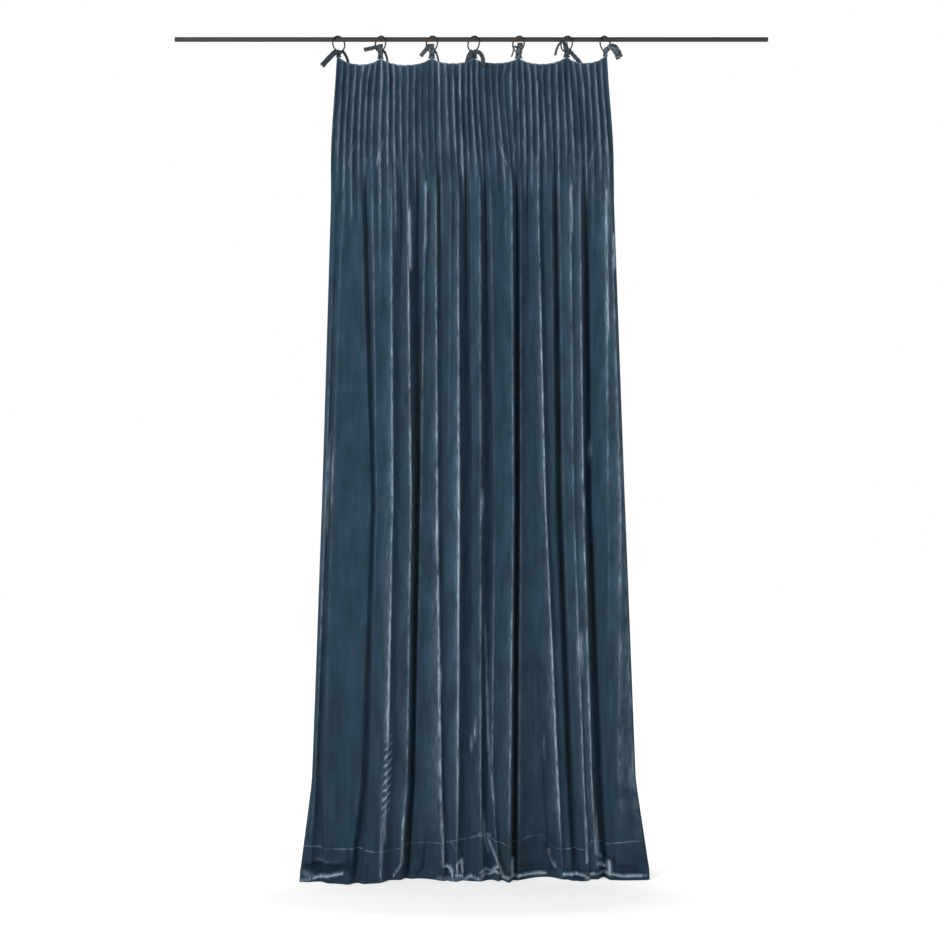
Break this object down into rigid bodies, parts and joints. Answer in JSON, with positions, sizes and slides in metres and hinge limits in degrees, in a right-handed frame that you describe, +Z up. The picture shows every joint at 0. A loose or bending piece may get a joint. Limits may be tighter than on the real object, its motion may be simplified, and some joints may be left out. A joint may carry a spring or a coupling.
{
  "type": "velvet curtain hung by tied rings on a rod",
  "caption": "Full-length pleated velvet curtain panel, hung by knotted ties and wire rings from a plain round metal rod.",
  "frame": {"origin": "middle of the rod's axis, 2.85 m above the floor that the hem reaches", "axes": "+Z up, +X along the rod to the right as seen from the front, and the front of the curtain faces -Y"},
  "size_m": [2.01, 0.1182, 2.8641],
  "materials": {
    "velvet": "slate blue cotton velvet with a short pile, pale along its crests",
    "tie_velvet": "slate velvet strip",
    "rod_steel": "brown-black satin coated steel tube",
    "ring_steel": "black coated round wire"
  },
  "bodies": {
    "root": {"rod": "rod_steel", "ring_1": "ring_steel", "ring_2": "ring_steel", "ring_3": "ring_steel", "ring_4": "ring_steel", "ring_5": "ring_steel", "ring_6": "ring_steel", "ring_7": "ring_steel", "curtain": "velvet", "tie_1": "tie_velvet", "tie_2": "tie_velvet", "tie_3": "tie_velvet", "tie_4": "tie_velvet", "tie_5": "tie_velvet", "tie_6": "tie_velvet", "tie_7": "tie_velvet"}
  },
  "joints": []
}
